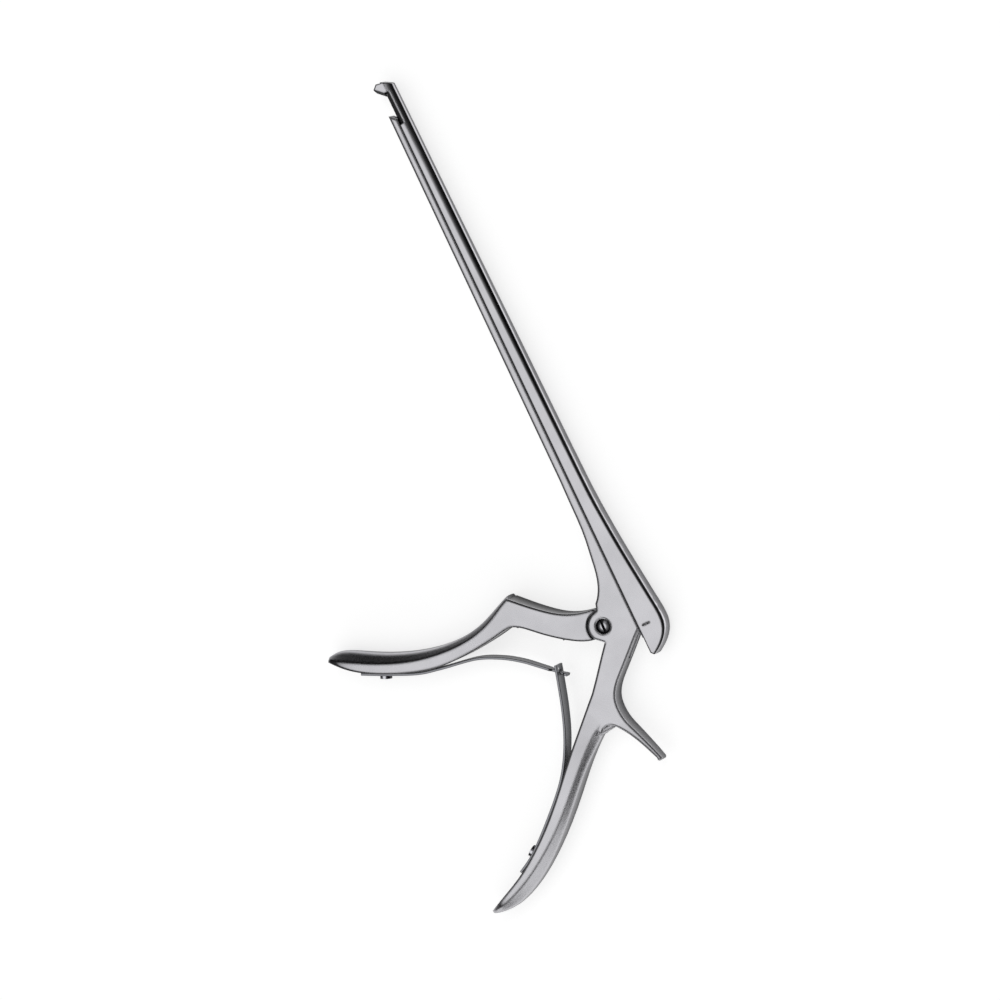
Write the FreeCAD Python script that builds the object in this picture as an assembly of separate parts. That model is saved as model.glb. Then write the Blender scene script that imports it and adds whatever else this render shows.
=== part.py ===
import FreeCAD, Part
import math
import os

# Bone rongeur: a punch with a long fixed bar, a slide that lies on it and carries the hook, and two
# sprung handles. Millimetres. The instrument lies on its side.
# +X runs along the shaft from the hook to the handles, +Y away from the handles, +Z up from the
# lower side flat of the body. The origin is on the pivot axis, in that flat.

# Widths across the instrument, along Z
body_width = 8.0
shaft_tip_width = 5.6
grip_width = 12.0
tongue_width = 5.0
spur_tip_width = 5.4
arm_width = 2.2
leaf_width = 7.0
leaf_neck_width = 2.4
leaf_head_width = 4.8
rail_neck_width = 1.5
rail_head_width = 2.5

# Clearances
slide_gap = 0.05
bearing_gap = 0.04
cheek_gap = 0.2
side_gap = 0.06
sweep_gap = 0.3
seat_gap = 0.1
thread_gap = 0.02
jaw_stop_gap = 0.1

# Shaft, seen from the side
parting_height = 11.8
bar_reach = 193.6
bar_tip_depth = 2.4
bar_root_depth = 3.0
bar_root_x = -53.0
front_face_lean = 43.0

# Squeeze
squeeze_angle = 36.0
drive_radius = 14.0

# Pivot and pins
pivot_shank_radius = 1.9
pivot_head_radius = 2.7
pivot_head_depth = 1.0
pivot_slot_width = 1.0
pivot_slot_depth = 0.7
pivot_slot_turn = 127.0
pivot_rim_chamfer = 0.35
cheek_radius = 5.7
drive_pin_radius = 1.25
drive_pin_reach = 2.4
arm_pin_radius = 1.0
arm_pin_x = 5.4
arm_pin_height = 2.9
arm_pin_reach = 2.4

# Slide, seen from the side
slide_tip_crown = 15.75
stem_chamfer = 1.0
stem_chamfer_height = 2.3
back_bevel_width = 1.0
tip_bevel_height = 2.8
tail_bevel_height = 1.05
back_crown = 0.25
tail_chamfer = 1.3
tail_start = -45.0
rail_neck_depth = 1.0
rail_head_depth = 0.7
rail_length = 30.0
front_rail_x = -190.0
rear_rail_x = -72.0
foot_length = 3.4
foot_thickness = 3.0
foot_nose = 1.4
foot_chamfer = 1.5
tick_start = 1.8
tick_height = 2.8
tick_width = 0.5
tick_depth = 0.3

# Drive arm
arm_front_x = 2.2
arm_neck = 3.0
arm_elbow_y = -2.2
arm_heel_x = 9.7
arm_heel_drop = 1.2
arm_top_height = 5.2
eye_wall = 1.6

# Leaf springs and their screws
leaf_thickness = 0.9
leaf_bow = 0.35
screw_head_radius = 2.2
screw_head_height = 1.2
screw_shank_radius = 1.3
screw_shank_length = 3.6
screw_slot_width = 0.6
screw_slot_depth = 0.5
window_length = 2.6

# Side outlines in the XY plane, drawn from the pivot axis
slide_back = [(-62.0, 16.9), (-56.0, 16.97), (-50.0, 17.05), (-40.0, 17.4), (-30.0, 18.1), (-20.0, 19.0),
              (-10.0, 20.1), (-2.0, 21.0), (4.0, 21.6), (8.0, 21.3), (11.0, 20.0), (13.6, 17.8),
              (15.6, 15.2), (17.0, 12.6)]
throat = [(-40.0, 8.5), (-31.0, 8.0), (-24.0, 7.0), (-17.0, 5.8), (-12.0, 3.9), (-8.4, 1.1)]
notch_point = (-6.5, 0.5)
body_rear = [(9.0, 8.2), (12.5, 4.3), (17.3, -1.2), (21.3, -5.4), (25.0, -7.6), (28.8, -8.2)]
spur_top = [(33.0, -7.8), (38.0, -6.1), (43.5, -4.1), (50.6, -1.8)]
spur_tip = (51.6, -2.4)
spur_under = [(50.4, -3.3), (45.1, -5.4), (39.6, -8.0), (35.2, -10.9), (33.0, -13.2), (33.0, -16.6)]
spur_taper_start = 34.0
crotch_point = (5.4, -2.0)
root_front = [(-6.9, -0.6), (-7.7, -5.5), (-9.8, -11.2), (-14.0, -17.4), (-18.6, -22.7), (-23.3, -27.7)]
root_rear = [(3.0, -5.2), (2.4, -7.6), (0.1, -12.4), (-3.0, -17.0), (-7.7, -22.8), (-11.6, -27.2),
             (-13.4, -30.2), (-13.8, -33.0)]

# Share of a grip's rounded height that is the slope beside the flank
grip_slope_share = 0.87

# Inner side of each grip where its leaf spring is screwed down
rear_screw_seat = (63.2, -61.2)
front_screw_seat = (-18.8, -83.7)

# Handle sections: inner point, outer point, length of the side flat, half of the width.
# The widths of those wider than the body are drawn for this grip width.
drawn_grip_width = 12.0
rear_grip = [
    ((20.0, -14.8), (31.0, -12.0), 9.6, 4.0),
    ((26.4, -21.6), (34.8, -18.2), 6.6, 4.2),
    ((31.0, -26.4), (38.6, -23.2), 5.7, 4.7),
    ((36.8, -32.3), (43.4, -29.0), 5.2, 5.3),
    ((45.5, -40.7), (51.6, -37.5), 4.7, 5.9),
    ((55.0, -50.7), (61.0, -47.6), 4.2, 6.0),
    (rear_screw_seat, (69.5, -58.5), 3.5, 6.0),
    ((67.6, -68.2), (73.8, -66.0), 3.1, 5.8),
    ((71.4, -76.2), (76.9, -74.9), 2.6, 5.3),
    ((73.8, -81.8), (77.2, -81.2), 1.7, 4.5),
    ((75.1, -85.1), (76.3, -85.0), 0.6, 2.6),
]
front_grip = [
    ((-12.4, -28.8), (-24.5, -28.0), 10.8, 5.4),
    ((-13.8, -33.0), (-22.4, -33.6), 6.9, 5.7),
    ((-13.0, -38.2), (-20.5, -38.6), 5.4, 5.9),
    ((-12.2, -45.0), (-18.8, -45.0), 4.4, 6.0),
    ((-11.7, -53.0), (-18.2, -52.6), 4.2, 6.0),
    ((-12.1, -62.5), (-19.0, -61.2), 4.4, 6.0),
    ((-14.1, -71.5), (-21.0, -69.4), 4.1, 6.0),
    (front_screw_seat, (-25.5, -80.9), 3.7, 6.0),
    ((-22.6, -91.0), (-29.0, -87.7), 3.4, 5.6),
    ((-26.6, -96.5), (-31.8, -93.4), 2.4, 4.9),
    ((-30.8, -101.2), (-32.5, -100.1), 0.9, 3.0),
]
# Free run of each leaf spring, past the stretch that lies on its handle
front_leaf_free = [(-9.0, -49.5), (-5.4, -40.8), (-1.2, -34.2), (3.0, -29.2), (7.4, -24.2), (10.8, -20.2)]
rear_leaf_free = [(37.4, -35.6), (29.0, -31.0), (20.5, -27.6), (12.4, -25.0), (6.2, -23.2)]

mid = body_width / 2
far_past = 100.0
opening = 2 * drive_radius * math.sin(math.radians(squeeze_angle / 2))
lean_slope = math.tan(math.radians(front_face_lean))


def vec(x, y, z=0.0):
    return FreeCAD.Vector(x, y, z)


def line(a, b):
    return Part.LineSegment(vec(*a), vec(*b)).toShape()


def spline(points):
    curve = Part.BSplineCurve()
    curve.interpolate([vec(*p) for p in points])
    return curve.toShape()


def arc_through(a, b, c):
    return Part.Arc(vec(*a), vec(*b), vec(*c)).toShape()


def bow(a, peak, b):
    """Flat even curve from a to b that bulges to the peak halfway."""
    curve = Part.BezierCurve()
    curve.setPoles([a, peak * 2 - (a + b) * 0.5, b])
    return curve.toShape()


def prism(edges, low, high):
    face = Part.Face(Part.Wire(edges))
    face.translate(vec(0, 0, low))
    return face.extrude(vec(0, 0, high - low))


def polygon(points, low, high):
    edges = [line(points[i], points[(i + 1) % len(points)]) for i in range(len(points))]
    return prism(edges, low, high)


def box(low, high):
    size = [high[i] - low[i] for i in range(3)]
    return Part.makeBox(size[0], size[1], size[2], vec(*low))


def rod(centre, radius, low, high):
    return Part.makeCylinder(radius, high - low, vec(centre[0], centre[1], low))


def one_solid(shape):
    return shape.removeSplitter().Solids[0]


def polar(radius, degrees):
    return (radius * math.cos(math.radians(degrees)), radius * math.sin(math.radians(degrees)))


def on_front_face(y, ahead=0.0):
    """Point at height y on the slanted front end of the bar, or that far ahead of it."""
    return (-bar_reach - ahead - (parting_height - y) * lean_slope, y)


def shaft_plan():
    """Plan that gives the frame its width: full at the body, narrower at the shaft's and the spur's tip."""
    tip_x = -bar_reach - opening - 20
    slope = (body_width - shaft_tip_width) / (2 * bar_reach)
    tip_half = mid + tip_x * slope
    spur_half = spur_tip_width / 2
    corners = [(tip_x, mid - tip_half), (0, 0), (spur_taper_start, 0), (spur_tip[0], mid - spur_half),
               (spur_tip[0], mid + spur_half), (spur_taper_start, body_width), (0, body_width),
               (tip_x, mid + tip_half)]
    wires = [line(corners[i], corners[(i + 1) % len(corners)]) for i in range(len(corners))]
    face = Part.Face(Part.Wire(wires))
    solid = face.extrude(vec(0, 0, far_past))
    solid.rotate(vec(0, 0, 0), vec(1, 0, 0), 90)
    solid.translate(vec(0, far_past / 2, 0))
    return solid


def grip_section(inner, outer, flat, half):
    """Loaf-shaped section: flat inner side, flat flanks, a slope on each side and a rounded back."""
    reach = math.dist(inner, outer)
    nx = (outer[0] - inner[0]) / reach
    ny = (outer[1] - inner[1]) / reach
    slope = (reach - flat) * grip_slope_share

    def spot(out, side):
        return vec(inner[0] + nx * out, inner[1] + ny * out, mid + side)

    inner_low, inner_high = spot(0, -half), spot(0, half)
    ridge_low, ridge_high = spot(flat, -half), spot(flat, half)
    back_low, back_high = spot(flat + slope, slope - half), spot(flat + slope, half - slope)
    return Part.Wire([
        Part.LineSegment(inner_low, inner_high).toShape(),
        Part.LineSegment(inner_high, ridge_high).toShape(),
        Part.LineSegment(ridge_high, back_high).toShape(),
        bow(back_high, spot(reach, 0), back_low),
        Part.LineSegment(back_low, ridge_low).toShape(),
        Part.LineSegment(ridge_low, inner_low).toShape(),
    ])


def grip_loft(stations):
    sections = []
    for inner, outer, flat, half in stations:
        width_share = grip_width / drawn_grip_width if half > mid else 1.0
        sections.append(grip_section(inner, outer, flat, half * width_share))
    return Part.makeLoft(sections, True)


def station_at(stations, seat):
    """Place in the list of the section whose inner point is the screw's seat."""
    return [station[0] for station in stations].index(seat)


def seat_normal(stations, pick):
    """Direction square to the inner side of a grip, away from the grip."""
    before, after = stations[pick - 1][0], stations[pick + 1][0]
    inner = stations[pick][0]
    outer = stations[pick][1]
    chord = math.dist(before, after)
    normal = vec((before[1] - after[1]) / chord, (after[0] - before[0]) / chord)
    towards_back = vec(outer[0] - inner[0], outer[1] - inner[1])
    return normal if normal.dot(towards_back) < 0 else normal * -1


def seat_line(stations, seat, lift):
    """Points of the inner side of a grip, from past the screw inwards, lifted off it least at the screw."""
    screw = station_at(stations, seat)
    points = []
    for i in (screw + 1, screw, screw - 1, screw - 2):
        lift_here = lift if i == screw else lift + leaf_bow
        place = vec(*stations[i][0]) + seat_normal(stations, i) * lift_here
        points.append((place.x, place.y))
    return points


def drive_point(turn):
    """Place of the drive pin when the handle has turned by that angle from rest."""
    return polar(drive_radius, -90 - squeeze_angle / 2 + turn)


def body_outline():
    """Fixed bar, body, spur and the root of the rear handle."""
    bar_bottom_tip = parting_height - bar_tip_depth
    bar_bottom_root = parting_height - bar_root_depth
    corner_x = body_rear[0][0] - (parting_height - body_rear[0][1]) * 0.85
    root_inner, root_outer = rear_grip[1][0], rear_grip[1][1]
    cheek_start = polar(cheek_radius, 180)
    cheek_end = polar(cheek_radius, -60)
    return [
        line(on_front_face(bar_bottom_tip), on_front_face(parting_height)),
        line(on_front_face(parting_height), (corner_x, parting_height)),
        line((corner_x, parting_height), body_rear[0]),
        spline(body_rear + spur_top),
        arc_through(spur_top[-1], spur_tip, spur_under[0]),
        spline(spur_under),
        line(spur_under[-1], root_outer),
        line(root_outer, root_inner),
        spline([root_inner, rear_grip[0][0], (12.0, -7.8), crotch_point]),
        line(crotch_point, cheek_end),
        arc_through(cheek_end, polar(cheek_radius, -120), cheek_start),
        line(cheek_start, notch_point),
        line(notch_point, throat[-1]),
        spline(list(reversed(throat)) + [(bar_root_x, bar_bottom_root)]),
        line((bar_root_x, bar_bottom_root), on_front_face(bar_bottom_tip)),
    ]


def rail(low_x, high_x, grow):
    """T-shaped rail under the slide, or its slot in the bar when grown by a clearance."""
    neck_low = parting_height - rail_neck_depth - grow
    head_low = neck_low - rail_head_depth - grow
    neck_half = rail_neck_width / 2 + grow
    head_half = rail_head_width / 2 + grow
    neck = box((low_x, neck_low, mid - neck_half), (high_x, parting_height + slide_gap, mid + neck_half))
    head = box((low_x, head_low, mid - head_half), (high_x, neck_low + 2 * grow, mid + head_half))
    return neck.fuse(head)


def arm_slot():
    """Room between the cheeks for the drive arm over its whole travel."""
    half = arm_width / 2 + sweep_gap / 2
    low_x = arm_front_x - sweep_gap
    high_x = arm_front_x + arm_neck + opening + sweep_gap
    low_y = -cheek_radius - 1.2
    slot = box((low_x, low_y, mid - half), (high_x, parting_height + 1, mid + half))
    heel_low = parting_height - arm_heel_drop - sweep_gap
    heel = box((low_x, heel_low, mid - half), (30, parting_height + 1, mid + half))
    return slot.fuse(heel)


def frame():
    solid = prism(body_outline(), 0, body_width).common(shaft_plan())
    solid = solid.fuse(grip_loft(rear_grip))
    tongue_half = tongue_width / 2
    pocket = rod((0, 0), cheek_radius + cheek_gap, mid - tongue_half, mid + tongue_half)
    slot_end = rear_rail_x + rail_length + opening + sweep_gap
    solid = solid.cut(pocket).cut(arm_slot())
    solid = solid.cut(rail(-bar_reach - 10, slot_end, slide_gap))
    solid = solid.cut(rod((0, 0), pivot_shank_radius + bearing_gap, -1, body_width + 1))
    head_room = pivot_head_radius + bearing_gap
    solid = solid.cut(rod((0, 0), head_room, body_width - pivot_head_depth, body_width + 1))
    solid = solid.cut(spring_screw_hole(rear_grip, rear_screw_seat))
    return one_solid(solid)


def half_width(x):
    """Half of the shaft's width at a place along it."""
    return mid + min(x, 0) * (body_width - shaft_tip_width) / (2 * bar_reach)


def bevel_height(x):
    """Height of the slide's rolled shoulder: most of the flank at the tip, a narrow edge over the tail."""
    share = min(max((x - tail_start) / (-bar_reach - tail_start), 0.0), 1.0)
    return tail_bevel_height + (tip_bevel_height - tail_bevel_height) * share


def back_section(x, crown):
    """Section of the slide: flat flanks, a rolled shoulder on each side and a low crown."""
    low = parting_height + slide_gap
    half = half_width(x)
    top = max(crown - back_crown, low + 0.3)
    height = min(bevel_height(x), top - low - 0.15)
    side = top - height
    inner = half - back_bevel_width
    roll = math.atan2(back_bevel_width, height)
    radius = height / math.sin(2 * roll)
    bulge_y = side + radius * math.sin(roll)
    bulge_half = half - radius * (1 - math.cos(roll))
    bulge, far_bulge = vec(x, bulge_y, mid + bulge_half), vec(x, bulge_y, mid - bulge_half)
    low_far, low_near = vec(x, low, mid - half), vec(x, low, mid + half)
    side_far, side_near = vec(x, side, mid - half), vec(x, side, mid + half)
    top_far, top_near = vec(x, top, mid - inner), vec(x, top, mid + inner)
    return Part.Wire([
        Part.LineSegment(low_far, low_near).toShape(),
        Part.LineSegment(low_near, side_near).toShape(),
        Part.Arc(side_near, bulge, top_near).toShape(),
        Part.Arc(top_near, vec(x, top + back_crown, mid), top_far).toShape(),
        Part.Arc(top_far, far_bulge, side_far).toShape(),
        Part.LineSegment(side_far, low_far).toShape(),
    ])


def slide_blank():
    """Straight forward part and curved tail of the slide, before the hook is cut."""
    front_x = on_front_face(parting_height - foot_length, opening + jaw_stop_gap)[0] - foot_thickness - 1
    first_x, first_crown = slide_back[0]
    slope = (first_crown - slide_tip_crown) / (first_x + bar_reach)
    front_crown = slide_tip_crown + slope * (front_x + bar_reach)
    shaft = Part.makeLoft([back_section(front_x, front_crown), back_section(first_x, first_crown)], True, True)
    tail = Part.makeLoft([back_section(x, crown) for x, crown in slide_back], True)
    return shaft.fuse(tail)


def foot_blank():
    """Down-turned foot under the front end of the slide, and the cutter that shapes its front."""
    low = parting_height + slide_gap
    ahead = opening + jaw_stop_gap
    foot_y = parting_height - foot_length
    half = half_width(-bar_reach)
    inner_top = on_front_face(low + 1, ahead)
    inner_low = on_front_face(foot_y + 0.5, ahead)
    tip = (inner_low[0] - foot_nose, foot_y)
    outer_low = (inner_low[0] - foot_thickness, foot_y + 1.8)
    outer_high = (outer_low[0] + 1.7, slide_tip_crown - 0.9)
    outer_top = (outer_low[0] + 0.6, low + 1)
    foot = polygon([inner_top, inner_low, tip, outer_low, outer_top], mid - half, mid + half)
    crown_x = outer_high[0] + 1.2
    clear_x = outer_low[0] - foot_thickness * 3
    clear_y = slide_tip_crown + foot_thickness * 3
    shave_low = low - 1.5
    shave = polygon([
        (outer_low[0] - 0.5, shave_low), outer_low, (outer_low[0], low), outer_high,
        (outer_high[0] + 0.5, slide_tip_crown - 0.3), (crown_x, slide_tip_crown + 0.1),
        (crown_x, clear_y), (clear_x, clear_y), (clear_x, shave_low),
    ], -1, body_width + 1)
    return foot, shave


def slide_bar():
    low = parting_height + slide_gap
    foot, shave = foot_blank()
    solid = slide_blank().cut(shave).fuse(foot).cut(stem_relief())
    tail_x = slide_back[-1][0]
    corner = [(tail_x - tail_chamfer, low - 1), (tail_x + 1, low - 1), (tail_x + 1, low + tail_chamfer),
              (tail_x, low + tail_chamfer), (tail_x - tail_chamfer, low)]
    solid = solid.cut(polygon(corner, -1, body_width + 1))
    for start in (front_rail_x, rear_rail_x):
        solid = solid.fuse(rail(start, start + rail_length, 0))
    half = arm_width / 2 + side_gap
    arm_top = parting_height + arm_top_height + seat_gap
    solid = solid.cut(box((arm_front_x - seat_gap, low - 1, mid - half),
                          (arm_heel_x + seat_gap, arm_top, mid + half)))
    pin_y = parting_height + arm_pin_height
    solid = solid.cut(rod((arm_pin_x, pin_y), arm_pin_radius, -1, mid + arm_pin_reach))
    tick_low = parting_height + tick_start
    solid = solid.cut(box((arm_pin_x, tick_low, body_width - tick_depth),
                          (arm_pin_x + tick_width, tick_low + tick_height, body_width + 1)))
    return one_solid(solid)


def stem_relief():
    """Bevels that narrow the stem's underside and the inner side of the foot."""
    low = parting_height + slide_gap
    ahead = opening + jaw_stop_gap
    tip_half = shaft_tip_width / 2
    foot_y = parting_height - foot_length - 1
    inner_low = on_front_face(foot_y, ahead)
    inner_top = on_front_face(low, ahead)
    stem_end = on_front_face(low + stem_chamfer_height)
    start_x = inner_top[0] - foot_chamfer
    cutters = []
    for side in (-1, 1):
        outer_z = mid + side * tip_half * 1.02
        rim_z = mid + side * (tip_half - stem_chamfer)
        base = Part.makePolygon([
            vec(start_x, low - 0.01, rim_z),
            vec(start_x, low - 0.01, outer_z),
            vec(start_x, low + stem_chamfer_height, outer_z),
            vec(start_x, low - 0.01, rim_z),
        ])
        cutters.append(Part.Face(base).extrude(vec(stem_end[0] - start_x, 0, 0)))
        foot = Part.makePolygon([
            vec(inner_top[0] + 0.01, low, rim_z),
            vec(inner_top[0] + 0.01, low, outer_z),
            vec(start_x, low, outer_z),
            vec(inner_top[0] + 0.01, low, rim_z),
        ])
        cutters.append(Part.Face(foot).extrude(vec(inner_low[0] - inner_top[0], inner_low[1] - low, 0)))
    return cutters[0].multiFuse(cutters[1:])


def arm_outline():
    """Arm from the slide's tail, round behind the pivot screw, to its eye in the handle's fork."""
    eye = drive_point(0)
    eye_half = drive_pin_radius + eye_wall
    low_y = -drive_radius - drive_pin_radius - eye_wall
    high_y = eye[1] + drive_pin_radius + eye_wall
    heel_y = parting_height - arm_heel_drop
    top_y = parting_height + arm_top_height
    rear_x = arm_front_x + arm_neck
    return [
        (arm_front_x, top_y), (arm_front_x, arm_elbow_y),
        (eye[0] - eye_half, high_y), (eye[0] - eye_half, low_y),
        (eye[0] + eye_half, low_y), (eye[0] + eye_half, high_y), (2.6, -4.9), (rear_x, -1.4),
        (rear_x, heel_y), (arm_heel_x, heel_y), (arm_heel_x, top_y),
    ]


def drive_arm():
    half = arm_width / 2
    solid = polygon(arm_outline(), mid - half, mid + half)
    eye = drive_point(0)
    slot_half = drive_pin_radius + slide_gap
    for y in (eye[1], -drive_radius):
        solid = solid.cut(rod((eye[0], y), slot_half, 0, body_width))
    solid = solid.cut(box((eye[0] - slot_half, -drive_radius, 0), (eye[0] + slot_half, eye[1], body_width)))
    pin = (arm_pin_x, parting_height + arm_pin_height)
    solid = solid.cut(rod(pin, arm_pin_radius, 0, body_width))
    return one_solid(solid)


def arm_pin():
    return rod((arm_pin_x, parting_height + arm_pin_height), arm_pin_radius, 0.2, mid + arm_pin_reach - 0.1)


def fork_slot():
    """Room in the handle's root for the arm, which swings about the drive pin as the handle turns."""
    low = mid - arm_width / 2 - sweep_gap / 2
    high = mid + arm_width / 2 + sweep_gap / 2
    pin = drive_point(0)
    eye_half = drive_pin_radius + eye_wall
    drop = pin[1] + drive_radius + eye_half
    room = math.hypot(eye_half, drop) + sweep_gap
    open_x = body_rear[1][0]
    shank = polygon([
        (arm_front_x - sweep_gap, cheek_radius + 1), (arm_front_x - sweep_gap, arm_elbow_y),
        (pin[0] - eye_half - sweep_gap, pin[1] + eye_half), pin, (pin[0] + eye_half + 1, pin[1]),
        (open_x, pin[1] + eye_half + drive_pin_radius), (open_x, cheek_radius + 1),
    ], low, high)
    return shank.fuse(rod(pin, room, low, high))


def root_outline():
    """Flat-sided root of the front handle, from the cheek's edge to the bump."""
    inner, outer, flat, half = front_grip[1]
    share = flat / math.dist(inner, outer)
    ridge = (inner[0] + (outer[0] - inner[0]) * share, inner[1] + (outer[1] - inner[1]) * share)
    return [
        line((0, 0), root_front[0]),
        spline(root_front),
        line(root_front[-1], ridge),
        line(ridge, root_rear[-1]),
        spline(list(reversed(root_rear))),
        line(root_rear[0], (0, 0)),
    ]


def root_plan():
    """Plan of the root: body width at the pivot, widening towards the grip."""
    half = front_grip[0][3] * grip_width / drawn_grip_width
    start, end, past = -cheek_radius, root_front[-1][1], front_grip[2][0][1]
    corners = [(far_past, 0), (start, 0), (end, mid - half), (past, mid - half),
               (past, mid + half), (end, mid + half), (start, body_width), (far_past, body_width)]
    points = [vec(-far_past, y, z) for y, z in corners]
    face = Part.Face(Part.makePolygon(points + points[:1]))
    return face.extrude(vec(2 * far_past, 0, 0))


def front_handle():
    root = prism(root_outline(), mid - grip_width / 2, mid + grip_width / 2).common(root_plan())
    shoulder = cheek_radius + cheek_gap
    tongue_half = tongue_width / 2 - side_gap
    for low, high in ((-grip_width, mid - tongue_half), (mid + tongue_half, body_width + grip_width)):
        root = root.cut(rod((0, 0), shoulder, low, high))
    tongue = rod((0, 0), cheek_radius, mid - tongue_half, mid + tongue_half)
    solid = root.fuse(tongue).fuse(grip_loft(front_grip))
    solid = solid.cut(rod((0, 0), pivot_shank_radius + bearing_gap, -1, body_width + 1))
    solid = solid.cut(fork_slot())
    solid = solid.cut(rod(drive_point(0), drive_pin_radius, -grip_width, mid + drive_pin_reach))
    solid = solid.cut(spring_screw_hole(front_grip, front_screw_seat))
    return one_solid(solid)


def drive_pin():
    return rod(drive_point(0), drive_pin_radius, 0, mid + drive_pin_reach - seat_gap)


def screw_slot(centre, normal, width, depth, reach):
    """Straight driver slot across a screw head, cut from the top of the head."""
    cutter = box((-reach, -width / 2, -depth), (reach, width / 2, 1))
    cutter.Placement = FreeCAD.Placement(centre, FreeCAD.Rotation(vec(0, 0, 1), normal))
    return cutter


def pivot_screw():
    low = body_width - pivot_head_depth
    head = rod((0, 0), pivot_head_radius, low, body_width)
    rim = [edge for edge in head.Edges if abs(edge.CenterOfMass.z - body_width) < 0.01]
    head = head.makeChamfer(pivot_rim_chamfer, rim)
    solid = head.fuse(rod((0, 0), pivot_shank_radius, 0, low))
    slot = box((-4, -pivot_slot_width / 2, body_width - pivot_slot_depth),
               (4, pivot_slot_width / 2, body_width + 1))
    slot.rotate(vec(0, 0, 0), vec(0, 0, 1), pivot_slot_turn)
    return one_solid(solid.cut(slot))


def spring_screw_hole(stations, seat):
    normal = seat_normal(stations, station_at(stations, seat))
    inner = vec(*seat, mid)
    return Part.makeCylinder(screw_shank_radius, screw_shank_length + 1, inner + normal, normal * -1)


def spring_screw(stations, seat):
    normal = seat_normal(stations, station_at(stations, seat))
    inner = vec(*seat, mid)
    head_low = inner + normal * (leaf_thickness + 2 * seat_gap + thread_gap)
    head = Part.makeCylinder(screw_head_radius, screw_head_height, head_low, normal)
    top = head_low + normal * screw_head_height
    shank_length = screw_shank_length + leaf_thickness
    shank = Part.makeCylinder(screw_shank_radius - thread_gap, shank_length, head_low, normal * -1)
    solid = head.fuse(shank)
    return one_solid(solid.cut(screw_slot(top, normal, screw_slot_width, screw_slot_depth, 4)))


def strip(points, thickness):
    """Edges of a strip of even thickness along a smooth centre line."""
    curve = Part.BSplineCurve()
    curve.interpolate([vec(*p) for p in points])
    sides = ([], [])
    count = len(points)
    for i in range(count + 1):
        u = curve.FirstParameter + (curve.LastParameter - curve.FirstParameter) * i / count
        place = curve.value(u)
        along = curve.tangent(u)[0]
        for side, sign in ((0, 1), (1, -1)):
            sides[side].append((place.x - sign * along.y * thickness / 2,
                                place.y + sign * along.x * thickness / 2))
    return [
        spline(sides[0]),
        line(sides[0][-1], sides[1][-1]),
        spline(list(reversed(sides[1]))),
        line(sides[1][0], sides[0][0]),
    ]


def leaf(stations, free, seat):
    lift = seat_gap + leaf_thickness / 2
    points = seat_line(stations, seat, lift) + free
    solid = prism(strip(points, leaf_thickness), mid - leaf_width / 2, mid + leaf_width / 2)
    normal = seat_normal(stations, station_at(stations, seat))
    inner = vec(*seat, mid)
    return solid.cut(Part.makeCylinder(screw_shank_radius + seat_gap, 6, inner - normal, normal))


def flank_wedges(start, end, start_half, end_half):
    """Cutters that narrow a leaf between two points of its run."""
    ax, ay = start
    bx, by = end
    length = math.dist(start, end)
    dx, dy = (bx - ax) / length, (by - ay) / length
    cutters = []
    for side in (-1, 1):
        far = mid + side * leaf_width
        profile = Part.makePolygon([
            vec(0, 0, mid + side * start_half),
            vec(length, 0, mid + side * end_half),
            vec(length, 0, far),
            vec(0, 0, far),
            vec(0, 0, mid + side * start_half),
        ])
        cutter = Part.Face(profile).extrude(vec(0, 16, 0))
        cutter.translate(vec(0, -8, 0))
        cutter.rotate(vec(0, 0, 0), vec(0, 0, 1), math.degrees(math.atan2(dy, dx)))
        cutter.translate(vec(ax, ay, 0))
        cutters.append(cutter)
    return cutters


def front_leaf_spring():
    solid = leaf(front_grip, front_leaf_free, front_screw_seat)
    neck_start, neck_end, head = front_leaf_free[3], front_leaf_free[4], front_leaf_free[5]
    neck_half = leaf_neck_width / 2
    taper_half = leaf_width * 0.32
    cutters = flank_wedges(front_leaf_free[0], neck_start, leaf_width / 2, taper_half)
    cutters += flank_wedges(neck_start, neck_end, neck_half, neck_half)
    past = (neck_end[0] + (head[0] - neck_end[0]) * 0.55, neck_end[1] + (head[1] - neck_end[1]) * 0.55)
    cutters += flank_wedges(neck_end, past, neck_half, neck_half)
    beyond = (head[0] * 2 - past[0], head[1] * 2 - past[1])
    cutters += flank_wedges(past, beyond, leaf_head_width / 2, leaf_head_width / 2)
    for cutter in cutters:
        solid = solid.cut(cutter)
    return one_solid(solid)


def rear_leaf_spring():
    solid = leaf(rear_grip, rear_leaf_free, rear_screw_seat)
    end = rear_leaf_free[-1]
    before = rear_leaf_free[-2]
    cross = front_leaf_free[4]
    for cutter in flank_wedges(rear_leaf_free[0], before, leaf_width / 2, leaf_head_width / 2 + 0.6):
        solid = solid.cut(cutter)
    past = (end[0] * 2 - before[0], end[1] * 2 - before[1])
    for cutter in flank_wedges(before, past, leaf_head_width / 2 + 0.6, leaf_head_width / 2 + 0.6):
        solid = solid.cut(cutter)
    half = leaf_neck_width / 2 + sweep_gap
    window = box((-window_length / 2, -4, mid - half), (window_length / 2, 4, mid + half))
    turn = math.degrees(math.atan2(end[1] - before[1], end[0] - before[0]))
    window.rotate(vec(0, 0, 0), vec(0, 0, 1), turn)
    window.translate(vec(cross[0], cross[1], 0))
    return one_solid(solid.cut(window))


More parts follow.
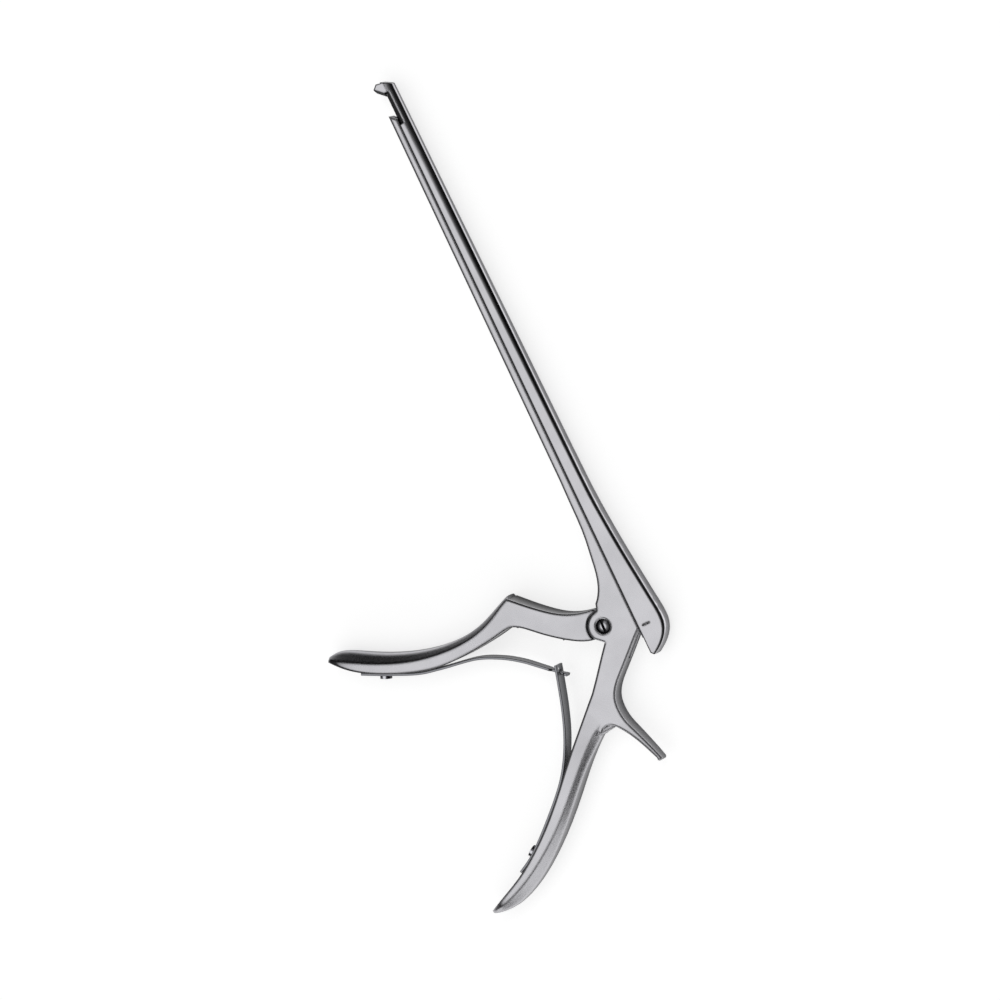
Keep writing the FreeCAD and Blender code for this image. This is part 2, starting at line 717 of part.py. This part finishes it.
def main():
    os.makedirs("parts", exist_ok=True)
    nodes = {
        "frame": frame(),
        "slide_bar": slide_bar(),
        "front_handle": front_handle(),
        "drive_arm": drive_arm(),
        "arm_pin": arm_pin(),
        "drive_pin": drive_pin(),
        "pivot_screw": pivot_screw(),
        "front_leaf_spring": front_leaf_spring(),
        "rear_leaf_spring": rear_leaf_spring(),
        "front_spring_screw": spring_screw(front_grip, front_screw_seat),
        "rear_spring_screw": spring_screw(rear_grip, rear_screw_seat),
    }
    for name, solid in nodes.items():
        solid.exportStep("parts/" + name + ".step")
        print(name, solid.isValid(), round(solid.Volume, 1), len(solid.Faces))


main()
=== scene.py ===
import bmesh
import bpy
import math
from mathutils import Matrix, Vector


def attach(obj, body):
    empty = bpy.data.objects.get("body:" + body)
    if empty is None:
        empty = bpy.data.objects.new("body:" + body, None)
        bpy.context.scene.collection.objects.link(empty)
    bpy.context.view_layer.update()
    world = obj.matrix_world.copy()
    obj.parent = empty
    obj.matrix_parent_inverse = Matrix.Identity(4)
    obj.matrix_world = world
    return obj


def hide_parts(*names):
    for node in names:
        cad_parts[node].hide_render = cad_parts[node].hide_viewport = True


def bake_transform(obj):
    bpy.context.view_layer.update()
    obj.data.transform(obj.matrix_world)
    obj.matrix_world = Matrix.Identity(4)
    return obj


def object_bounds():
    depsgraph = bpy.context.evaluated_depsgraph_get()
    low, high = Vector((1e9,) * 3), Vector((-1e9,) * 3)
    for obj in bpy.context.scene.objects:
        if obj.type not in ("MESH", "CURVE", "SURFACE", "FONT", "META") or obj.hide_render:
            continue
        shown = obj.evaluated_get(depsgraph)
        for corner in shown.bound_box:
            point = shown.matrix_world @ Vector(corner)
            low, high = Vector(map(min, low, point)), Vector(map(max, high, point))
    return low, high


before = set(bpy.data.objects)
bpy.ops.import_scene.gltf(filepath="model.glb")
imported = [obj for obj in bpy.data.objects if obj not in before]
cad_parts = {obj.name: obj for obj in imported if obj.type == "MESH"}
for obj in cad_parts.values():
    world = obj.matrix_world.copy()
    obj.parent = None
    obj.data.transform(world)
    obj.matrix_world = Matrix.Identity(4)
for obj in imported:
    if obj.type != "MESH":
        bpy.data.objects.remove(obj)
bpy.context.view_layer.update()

# Metres throughout, in the frame of the CAD model
MM = 0.001

# Where the photograph looks from: the view's right and up directions in the model's axes
PIXEL = 0.354 * MM
VIEW_RIGHT = Vector((0.4302, 0.8437, -0.3200))
VIEW_UP = Vector((-0.9020, 0.4128, -0.1240))
PIVOT_PIXEL = (602.9, 626.4)
PIVOT_FACE = Vector((0.0, 0.0, 8.0)) * MM
CAMERA_DISTANCE = 2.0
FRAME_PIXELS = 1000

# Floor: paint, glow towards the camera and the mirrors, and the reach of the painted shade in close
# reflections
FLOOR_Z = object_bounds()[0][2] - 0.02 * MM
FLOOR_REACH = 3.0
FLOOR_PAINT = (0.55, 0.55, 0.55, 1.0)
FLOOR_GLOW = 0.7
FLOOR_NEAR = 1.0 * MM
FLOOR_FAR = 16.0 * MM

# Painted shade and highlight: base colour scaled against how squarely a surface faces along the pivot axis,
# backs and walls at 0, flanks at 1; below 1 is painted shade, above 1 painted highlight
SLIDE_PAINTED_LIGHT = [(0.0, 0.55), (0.09, 0.6), (0.12, 1.4), (0.18, 1.4), (0.24, 0.2), (0.3, 0.06),
                (0.9, 0.06), (0.96, 0.14), (0.985, 0.42), (0.998, 1.0)]
BODY_PAINTED_LIGHT = [(0.0, 0.45), (0.12, 0.5), (0.3, 0.85), (0.82, 0.7), (0.9, 0.45), (0.95, 0.1),
               (0.98, 0.06), (0.998, 1.0)]
HANDLE_PAINTED_LIGHT = [(0.0, 0.28), (0.04, 0.32), (0.12, 0.9), (0.35, 0.75), (0.55, 0.45), (0.7, 0.2),
                 (0.82, 0.06), (0.97, 0.06), (0.997, 1.0)]
SPRING_PAINTED_LIGHT = [(0.0, 0.5), (0.4, 0.25), (0.85, 0.15), (0.95, 0.3), (1.0, 0.8)]
SCREW_PAINTED_LIGHT = [(0.0, 0.15), (0.9, 0.1), (0.955, 0.3), (0.98, 1.3), (1.0, 1.5)]
SLOT_FINISH = [(0.0, 1.0), (1.0, 1.0)]

# Painted shade in crevices: reach, and shade against how open the place is
CREVICE_REACH = 0.65 * MM
CREVICE_SHADE_STOPS = [(0.4, 0.03), (0.8, 1.0)]

# A face that looks this squarely along the pivot axis counts as a flank
FLANK_LIMIT = 0.9

# Steel: base colours, scale of the cloudy tone and of the grain, and the grain's depth
SATIN = (0.66, 0.655, 0.685)
SPRING_GREY = (0.38, 0.385, 0.41)
SCREW_GREY = (0.5, 0.5, 0.53)
# The near-black slot colour is painted shade on the floor of the pivot screw's slot
SLOT_PAINTED_SHADE = (0.02, 0.02, 0.022)
CLOUD_SCALE = 90.0
SATIN_GRAIN = 2600.0
SCREW_GRAIN = 1500.0
SATIN_DEPTH = 0.02 * MM
SCREW_DEPTH = 0.01 * MM
GRAIN_STRENGTH = 0.5

# Room: axis of the bright field overhead, and brightness against the cosine of the angle to it
SKY_AXIS = (0.15, -0.30, 0.94)
SKY_STOPS = [(0.0, 0.03), (0.2, 0.04), (0.45, 0.1), (0.7, 0.5), (0.86, 0.82), (1.0, 0.9)]

# Lamps: name, place, target, size and watts
LAMPS = [
    ("key", (-0.9, 0.5, 1.4), (-0.05, -0.03, 0.0), 1.0, 3.0),
    ("handle_end", (1.3, 0.1, 0.42), (0.04, -0.05, 0.0), 0.9, 2.0),
    ("grip_side", (0.95, -0.95, 0.28), (0.07, -0.07, 0.0), 0.8, 2.0),
]

# Leaf springs
MID_Z = 4.0 * MM
LEAF_THICKNESS = 0.9 * MM
LEAF_RIM = 0.14 * MM
LEAF_WIDTH = 7.0 * MM
LEAF_NECK = 2.4 * MM
LEAF_HEAD = 3.8 * MM
LEAF_TAPER = 4.5 * MM
WINDOW_WIDTH = 3.0 * MM
WINDOW_LENGTH = 2.6 * MM
WINDOW_DEPTH = 5.0 * MM

# Widths of the leaves against the share of their length; the front one ends in a neck and a T-shaped head
FRONT_WIDTHS = [(0.0, LEAF_WIDTH), (0.42, LEAF_WIDTH), (0.915, LEAF_TAPER), (0.925, LEAF_NECK),
                (0.98, LEAF_NECK), (0.985, LEAF_HEAD), (1.0, LEAF_HEAD)]
REAR_WIDTHS = [(0.0, LEAF_WIDTH), (1.0, LEAF_WIDTH)]

# The leaves' centre lines in plan, in millimetres, from the fixed end to the free one
FRONT_LEAF_PATH = [(-21.83, -91.47), (-18.30, -83.92), (-13.24, -71.77), (-11.21, -62.62),
                   (-9.0, -49.5), (-5.4, -40.8), (-1.2, -34.2), (3.0, -29.2), (7.4, -24.2),
                   (10.2, -21.0)]
REAR_LEAF_PATH = [(66.81, -68.63), (62.75, -61.52), (54.32, -51.29), (44.86, -41.33),
                  (37.4, -35.6), (29.0, -31.0), (20.5, -27.6), (12.4, -25.0), (5.3, -22.9)]

# Pivot screw: shank, head sunk in the body, its dome and its driver slot
PIVOT_SHANK = 1.9 * MM
PIVOT_HEAD = 2.68 * MM
PIVOT_SEAT = 7.0 * MM
PIVOT_TOP = 8.0 * MM
PIVOT_DOME = 4.6 * MM
PIVOT_SLOT_WIDTH = 0.9 * MM
PIVOT_SLOT_DEPTH = 0.95 * MM
PIVOT_SLOT_TURN = math.radians(-3.4)
PIVOT_STEPS = 64
DOME_STEPS = 12

# Filled corner between the finger spur and the rear grip: corners on the upper half, in millimetres
HEEL_CORNERS = [(32.2, -12.6, 7.97), (33.95, -12.2, 7.97), (33.95, -17.5, 7.97), (34.0, -18.5, 7.97),
                (32.9, -19.0, 7.97), (34.75, -18.25, 6.0), (34.3, -21.5, 7.95)]


def aim_camera():
    """Long-lens camera that sees the model as the photograph does."""
    scene = bpy.context.scene
    right = VIEW_RIGHT.normalized()
    up = (VIEW_UP - VIEW_UP.dot(right) * right).normalized()
    back = right.cross(up)
    half = FRAME_PIXELS / 2
    offset_u = (PIVOT_PIXEL[0] - half) * PIXEL
    offset_v = (half - PIVOT_PIXEL[1]) * PIXEL
    centre = PIVOT_FACE - right * offset_u - up * offset_v
    data = bpy.data.cameras.new("photo_camera")
    data.sensor_width = 36.0
    data.lens = data.sensor_width * CAMERA_DISTANCE / (FRAME_PIXELS * PIXEL)
    data.clip_end = 20.0
    camera = bpy.data.objects.new("photo_camera", data)
    scene.collection.objects.link(camera)
    place = centre + back * CAMERA_DISTANCE
    camera.matrix_world = Matrix((
        (right.x, up.x, back.x, place.x),
        (right.y, up.y, back.y, place.y),
        (right.z, up.z, back.z, place.z),
        (0.0, 0.0, 0.0, 1.0),
    ))
    scene.camera = camera


def new_material(name):
    material = bpy.data.materials.new(name)
    material.use_nodes = True
    nodes = material.node_tree.nodes
    nodes.clear()
    output = nodes.new("ShaderNodeOutputMaterial")
    return material, nodes, material.node_tree.links, output


def math_node(nodes, links, operation, first, second):
    """Result of a sum on two values, each a socket or a number."""
    node = nodes.new("ShaderNodeMath")
    node.operation = operation
    for socket, value in zip(node.inputs, (first, second)):
        if isinstance(value, float):
            socket.default_value = value
        else:
            links.new(value, socket)
    return node.outputs["Value"]


def ramp(nodes, stops):
    node = nodes.new("ShaderNodeValToRGB")
    while len(node.color_ramp.elements) < len(stops):
        node.color_ramp.elements.new(0.5)
    for element, (place, value) in zip(node.color_ramp.elements, stops):
        element.position = place
        element.color = (*value, 1.0) if isinstance(value, tuple) else (value, value, value, 1.0)
    return node


def rounded_normal(nodes, radius):
    node = nodes.new("ShaderNodeBevel")
    node.samples = 8
    node.inputs["Radius"].default_value = radius
    return node.outputs["Normal"]


def along_axis(nodes, links, normal):
    """How squarely a normal points along the pivot axis, either way: 1 on a flank, 0 on a back."""
    own = nodes.new("ShaderNodeVectorTransform")
    own.vector_type = "NORMAL"
    own.convert_from = "WORLD"
    own.convert_to = "OBJECT"
    links.new(normal, own.inputs["Vector"])
    split = nodes.new("ShaderNodeSeparateXYZ")
    links.new(own.outputs["Vector"], split.inputs["Vector"])
    return math_node(nodes, links, "ABSOLUTE", split.outputs["Z"], 0.0)


def soft_normal(nodes, links, edge_radius, back_radius):
    """Normal that rounds the rim of each flank tightly and the backs between them widely."""
    surface = nodes.new("ShaderNodeNewGeometry")
    facing = along_axis(nodes, links, surface.outputs["Normal"])
    flank = math_node(nodes, links, "GREATER_THAN", facing, FLANK_LIMIT)
    blend = nodes.new("ShaderNodeMix")
    blend.data_type = "VECTOR"
    links.new(flank, blend.inputs["Factor"])
    links.new(rounded_normal(nodes, back_radius), blend.inputs[4])
    links.new(rounded_normal(nodes, edge_radius), blend.inputs[5])
    return blend.outputs[1]


def steel(name, color, rough, grain_scale, grain_depth, painted_light, edge_radius, back_radius):
    """Steel with painted shade and highlight for each way a surface faces, faint cloudy tone, fine grain and
    painted shade in crevices.
    """
    material, nodes, links, output = new_material(name)
    shader = nodes.new("ShaderNodeBsdfPrincipled")
    shader.inputs["Metallic"].default_value = 1.0
    normal = soft_normal(nodes, links, edge_radius, back_radius)
    # Painted shade and highlight: the base colour is scaled by how squarely the rounded normal faces along
    # the pivot axis
    painted_light_ramp = ramp(nodes, painted_light)
    links.new(along_axis(nodes, links, normal), painted_light_ramp.inputs["Fac"])
    place = nodes.new("ShaderNodeTexCoord")
    cloud = nodes.new("ShaderNodeTexNoise")
    cloud.inputs["Scale"].default_value = CLOUD_SCALE
    cloud.inputs["Detail"].default_value = 4.0
    links.new(place.outputs["Object"], cloud.inputs["Vector"])
    dim = tuple(c * 0.95 for c in color)
    light = tuple(min(1.0, c * 1.05) for c in color)
    tone = ramp(nodes, [(0.32, dim), (0.68, light)])
    links.new(cloud.outputs["Fac"], tone.inputs["Fac"])
    # Painted shade: crevices and gaps are darkened in the base colour by ambient occlusion
    crevice = nodes.new("ShaderNodeAmbientOcclusion")
    crevice.samples = 8
    crevice.inputs["Distance"].default_value = CREVICE_REACH
    depth = ramp(nodes, CREVICE_SHADE_STOPS)
    links.new(crevice.outputs["AO"], depth.inputs["Fac"])
    coat = tone.outputs["Color"]
    for shade in (painted_light_ramp.outputs["Color"], depth.outputs["Color"]):
        product = nodes.new("ShaderNodeVectorMath")
        product.operation = "MULTIPLY"
        links.new(coat, product.inputs[0])
        links.new(shade, product.inputs[1])
        coat = product.outputs["Vector"]
    links.new(coat, shader.inputs["Base Color"])
    grain = nodes.new("ShaderNodeTexNoise")
    grain.inputs["Scale"].default_value = grain_scale
    grain.inputs["Detail"].default_value = 6.0
    grain.inputs["Roughness"].default_value = 0.7
    links.new(place.outputs["Object"], grain.inputs["Vector"])
    sheen = nodes.new("ShaderNodeMapRange")
    sheen.inputs["From Min"].default_value = 0.3
    sheen.inputs["From Max"].default_value = 0.7
    sheen.inputs["To Min"].default_value = rough - 0.05
    sheen.inputs["To Max"].default_value = rough + 0.07
    links.new(grain.outputs["Fac"], sheen.inputs["Value"])
    links.new(sheen.outputs["Result"], shader.inputs["Roughness"])
    bump = nodes.new("ShaderNodeBump")
    bump.inputs["Strength"].default_value = GRAIN_STRENGTH
    bump.inputs["Distance"].default_value = grain_depth
    links.new(grain.outputs["Fac"], bump.inputs["Height"])
    links.new(normal, bump.inputs["Normal"])
    links.new(bump.outputs["Normal"], shader.inputs["Normal"])
    links.new(shader.outputs["BSDF"], output.inputs["Surface"])
    return material


def floor_material():
    """White floor that keeps the object's shadow; where the steel mirrors it from close by, its glow fades, a
    painted shade in the reflections.
    """
    material, nodes, links, output = new_material("white_floor")
    paint = nodes.new("ShaderNodeBsdfDiffuse")
    paint.inputs["Color"].default_value = FLOOR_PAINT
    glow = nodes.new("ShaderNodeEmission")
    rays = nodes.new("ShaderNodeLightPath")
    distance = nodes.new("ShaderNodeMapRange")
    distance.interpolation_type = "SMOOTHSTEP"
    distance.inputs["From Min"].default_value = FLOOR_NEAR
    distance.inputs["From Max"].default_value = FLOOR_FAR
    links.new(rays.outputs["Ray Length"], distance.inputs["Value"])
    glossy, through = rays.outputs["Is Glossy Ray"], rays.outputs["Is Transmission Ray"]
    mirrored = math_node(nodes, links, "MAXIMUM", glossy, through)
    # Painted shade: the glow seen by mirror rays fades with ray length close to the object, standing in for
    # its shadow there
    faded = math_node(nodes, links, "MULTIPLY", mirrored, distance.outputs["Result"])
    seen = math_node(nodes, links, "MAXIMUM", rays.outputs["Is Camera Ray"], faded)
    level = math_node(nodes, links, "MULTIPLY", seen, FLOOR_GLOW)
    links.new(level, glow.inputs["Strength"])
    both = nodes.new("ShaderNodeAddShader")
    links.new(paint.outputs["BSDF"], both.inputs[0])
    links.new(glow.outputs["Emission"], both.inputs[1])
    links.new(both.outputs["Shader"], output.inputs["Surface"])
    return material


def make_floor():
    mesh = bpy.data.meshes.new("floor")
    corners = [(-1, -1), (1, -1), (1, 1), (-1, 1)]
    mesh.from_pydata([(x * FLOOR_REACH, y * FLOOR_REACH, FLOOR_Z) for x, y in corners], [], [(0, 1, 2, 3)])
    floor = bpy.data.objects.new("floor", mesh)
    bpy.context.scene.collection.objects.link(floor)
    mesh.materials.append(floor_material())


def make_world():
    """Studio room: one wide bright field overhead, tilted a little, and dark walls."""
    world = bpy.data.worlds.new("studio")
    bpy.context.scene.world = world
    world.use_nodes = True
    nodes, links = world.node_tree.nodes, world.node_tree.links
    nodes.clear()
    output = nodes.new("ShaderNodeOutputWorld")
    place = nodes.new("ShaderNodeTexCoord")
    along = nodes.new("ShaderNodeVectorMath")
    along.operation = "DOT_PRODUCT"
    along.inputs[1].default_value = Vector(SKY_AXIS).normalized()
    links.new(place.outputs["Generated"], along.inputs[0])
    room = ramp(nodes, SKY_STOPS)
    links.new(along.outputs["Value"], room.inputs["Fac"])
    studio = nodes.new("ShaderNodeBackground")
    links.new(room.outputs["Color"], studio.inputs["Color"])
    links.new(studio.outputs["Background"], output.inputs["Surface"])


def soft_lamp(name, place, target, size, watts):
    data = bpy.data.lights.new(name, "AREA")
    data.shape = "DISK"
    data.size = size
    data.energy = watts
    lamp = bpy.data.objects.new(name, data)
    bpy.context.scene.collection.objects.link(lamp)
    lamp.location = place
    lamp.rotation_euler = (Vector(target) - Vector(place)).to_track_quat("-Z", "Y").to_euler()


def dress(node, material):
    """Gives a CAD node its material, without touching its mesh."""
    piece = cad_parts[node]
    if not piece.material_slots:
        piece.data.materials.append(None)
    for slot in piece.material_slots:
        slot.link = "OBJECT"
        slot.material = material


def object_from(name, mesh):
    """Object made of a finished bmesh, placed in the scene."""
    data = bpy.data.meshes.new(name)
    mesh.to_mesh(data)
    mesh.free()
    piece = bpy.data.objects.new(name, data)
    bpy.context.scene.collection.objects.link(piece)
    return piece


def smooth_path(points, per_span=14):
    """Even points on a smooth curve through the given ones."""
    out = []
    last = len(points) - 1
    for i in range(last):
        before = Vector(points[max(i - 1, 0)])
        a = Vector(points[i])
        b = Vector(points[i + 1])
        after = Vector(points[min(i + 2, last)])
        for k in range(per_span):
            t = k / per_span
            out.append(0.5 * (2 * a + (b - before) * t + (2 * before - 5 * a + 4 * b - after) * t * t
                              + (3 * a - before - 3 * b + after) * t ** 3))
    out.append(Vector(points[-1]))
    return out


def leaf_section(half_width, half_thickness, rim):
    """Corner points of the leaf's section: across the width, then through the thickness."""
    w, t = half_width, half_thickness
    return [(-w, -t + rim), (-w + rim, -t), (w - rim, -t), (w, -t + rim),
            (w, t - rim), (w - rim, t), (-w + rim, t), (-w, t - rim)]


def width_at(widths, share):
    """Width at a share of the length, in between the listed ones."""
    for (low, start), (high, end) in zip(widths, widths[1:]):
        if share < high:
            return start + (end - start) * (share - low) / (high - low)
    return widths[-1][1]


def leaf_mesh(name, path, widths):
    """Bent leaf: its section carried along a path."""
    points = smooth_path([Vector((x * MM, y * MM)) for x, y in path])
    lengths = [0.0]
    for a, b in zip(points, points[1:]):
        lengths.append(lengths[-1] + (b - a).length)
    mesh = bmesh.new()
    rings = []
    for i, place in enumerate(points):
        along = (points[min(i + 1, len(points) - 1)] - points[max(i - 1, 0)]).normalized()
        side = Vector((-along.y, along.x))
        half = width_at(widths, lengths[i] / lengths[-1]) / 2
        ring = []
        for w, t in leaf_section(half, LEAF_THICKNESS / 2, LEAF_RIM):
            spot = place + side * t
            ring.append(mesh.verts.new((spot.x, spot.y, MID_Z + w)))
        rings.append(ring)
    for a, b in zip(rings, rings[1:]):
        for k in range(len(a)):
            n = (k + 1) % len(a)
            mesh.faces.new((a[k], a[n], b[n], b[k]))
    mesh.faces.new(list(reversed(rings[0])))
    mesh.faces.new(rings[-1])
    bmesh.ops.recalc_face_normals(mesh, faces=mesh.faces)
    return object_from(name, mesh)


def cut_with(piece, cutter):
    """Cuts a helper mesh out of a piece and removes the helper."""
    cut = piece.modifiers.new("cut", "BOOLEAN")
    cut.operation = "DIFFERENCE"
    cut.solver = "EXACT"
    cut.object = cutter
    bpy.context.view_layer.update()
    seen = bpy.context.evaluated_depsgraph_get()
    data = bpy.data.meshes.new_from_object(piece.evaluated_get(seen))
    piece.modifiers.clear()
    old = piece.data
    piece.data = data
    bpy.data.meshes.remove(old)
    bpy.data.objects.remove(cutter)


def block(size, place, turn):
    """Helper box for cutting, turned about the pivot axis's direction."""
    mesh = bmesh.new()
    bmesh.ops.create_cube(mesh, size=1.0)
    cutter = object_from("cutter", mesh)
    cutter.scale = size
    cutter.rotation_euler = (0.0, 0.0, turn)
    cutter.location = place
    return cutter


def make_leaves(material):
    """Both leaf springs, which bend between the body and the front handle."""
    front = leaf_mesh("front_leaf", FRONT_LEAF_PATH, FRONT_WIDTHS)
    rear = leaf_mesh("rear_leaf", REAR_LEAF_PATH, REAR_WIDTHS)
    end, before = REAR_LEAF_PATH[-1], REAR_LEAF_PATH[-2]
    turn = math.atan2(end[1] - before[1], end[0] - before[0])
    cross_x, cross_y = FRONT_LEAF_PATH[-2]
    window = (WINDOW_LENGTH, WINDOW_DEPTH, WINDOW_WIDTH)
    cut_with(rear, block(window, (cross_x * MM, cross_y * MM, MID_Z), turn))
    for piece, node in ((front, "front_leaf_spring"), (rear, "rear_leaf_spring")):
        piece.data.materials.append(material)
        for face in piece.data.polygons:
            face.use_smooth = False
        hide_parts(node)
        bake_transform(piece)


def make_grip_heel(material):
    """Small fillet that carries the flat of the body smoothly into the back of the rear grip."""
    mesh = bmesh.new()
    for x, y, z in HEEL_CORNERS:
        mesh.verts.new((x * MM, y * MM, z * MM))
        mesh.verts.new((x * MM, y * MM, 2 * MID_Z - z * MM))
    bmesh.ops.convex_hull(mesh, input=mesh.verts)
    bmesh.ops.recalc_face_normals(mesh, faces=mesh.faces)
    piece = object_from("grip_heel", mesh)
    piece.data.materials.append(material)
    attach(piece, "frame")


def make_pivot_screw(material, slot_shade_material):
    """Domed, slotted screw head on its shank, sunk in the body."""
    profile = [(0.0, 0.0), (PIVOT_SHANK, 0.0), (PIVOT_SHANK, PIVOT_SEAT), (PIVOT_HEAD, PIVOT_SEAT)]
    rim_tilt = math.asin(PIVOT_HEAD / PIVOT_DOME)
    for i in range(DOME_STEPS + 1):
        tilt = rim_tilt * (1 - i / DOME_STEPS)
        profile.append((PIVOT_DOME * math.sin(tilt), PIVOT_TOP - PIVOT_DOME * (1 - math.cos(tilt))))
    mesh = bmesh.new()
    rings = []
    turns = [2 * math.pi * k / PIVOT_STEPS for k in range(PIVOT_STEPS)]
    for radius, z in profile:
        if radius < 0.01 * MM:
            rings.append([mesh.verts.new((0.0, 0.0, z))])
            continue
        rings.append([mesh.verts.new((radius * math.cos(t), radius * math.sin(t), z)) for t in turns])
    for low, high in zip(rings, rings[1:]):
        for k in range(PIVOT_STEPS):
            n = (k + 1) % PIVOT_STEPS
            corners = [low[k % len(low)], low[n % len(low)], high[n % len(high)], high[k % len(high)]]
            mesh.faces.new(list(dict.fromkeys(corners)))
    bmesh.ops.recalc_face_normals(mesh, faces=mesh.faces)
    piece = object_from("pivot_head", mesh)
    slot = (4 * PIVOT_HEAD, PIVOT_SLOT_WIDTH, 2 * PIVOT_SLOT_DEPTH)
    cut_with(piece, block(slot, (0.0, 0.0, PIVOT_TOP), PIVOT_SLOT_TURN))
    piece.data.materials.append(material)
    piece.data.materials.append(slot_shade_material)
    for face in piece.data.polygons:
        above_slot = face.center.z > PIVOT_TOP - PIVOT_SLOT_DEPTH * 0.95
        face.use_smooth = abs(face.normal.z) > 0.5 and above_slot
        # Slot floor faces take the near-black slot material, painted shade at the bottom of the slot
        face.material_index = 1 if face.normal.z > 0.99 and not above_slot else 0
    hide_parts("pivot_screw")
    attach(piece, "frame")


aim_camera()
make_floor()
make_world()
for lamp in LAMPS:
    soft_lamp(*lamp)

body_steel = steel("satin_steel", SATIN, 0.26, SATIN_GRAIN, SATIN_DEPTH, BODY_PAINTED_LIGHT, 1.5 * MM, 2.0 * MM)
handle_steel = steel("handle_steel", SATIN, 0.26, SATIN_GRAIN, SATIN_DEPTH, HANDLE_PAINTED_LIGHT, 1.5 * MM, 2.0 * MM)
slide_steel = steel("slide_steel", SATIN, 0.26, SATIN_GRAIN, SATIN_DEPTH, SLIDE_PAINTED_LIGHT, 0.9 * MM, 0.4 * MM)
spring = steel("spring_steel", SPRING_GREY, 0.24, SATIN_GRAIN, SATIN_DEPTH, SPRING_PAINTED_LIGHT, 0.3 * MM, 0.5 * MM)
screw = steel("screw_steel", SCREW_GREY, 0.16, SCREW_GRAIN, SCREW_DEPTH, SCREW_PAINTED_LIGHT, 0.12 * MM, 0.2 * MM)
# Near-black steel for the pivot screw's slot floor: painted shade
slot_shade = steel("slot_shade", SLOT_PAINTED_SHADE, 0.5, SCREW_GRAIN, SCREW_DEPTH, SLOT_FINISH, 0.05 * MM, 0.05 * MM)

dress("slide_bar", slide_steel)
dress("front_handle", handle_steel)
for node in ("frame", "drive_arm", "arm_pin", "drive_pin"):
    dress(node, body_steel)
for node in ("front_spring_screw", "rear_spring_screw"):
    dress(node, screw)
make_leaves(spring)
make_grip_heel(body_steel)
make_pivot_screw(screw, slot_shade)

bpy.context.scene.view_settings.view_transform = "Standard"
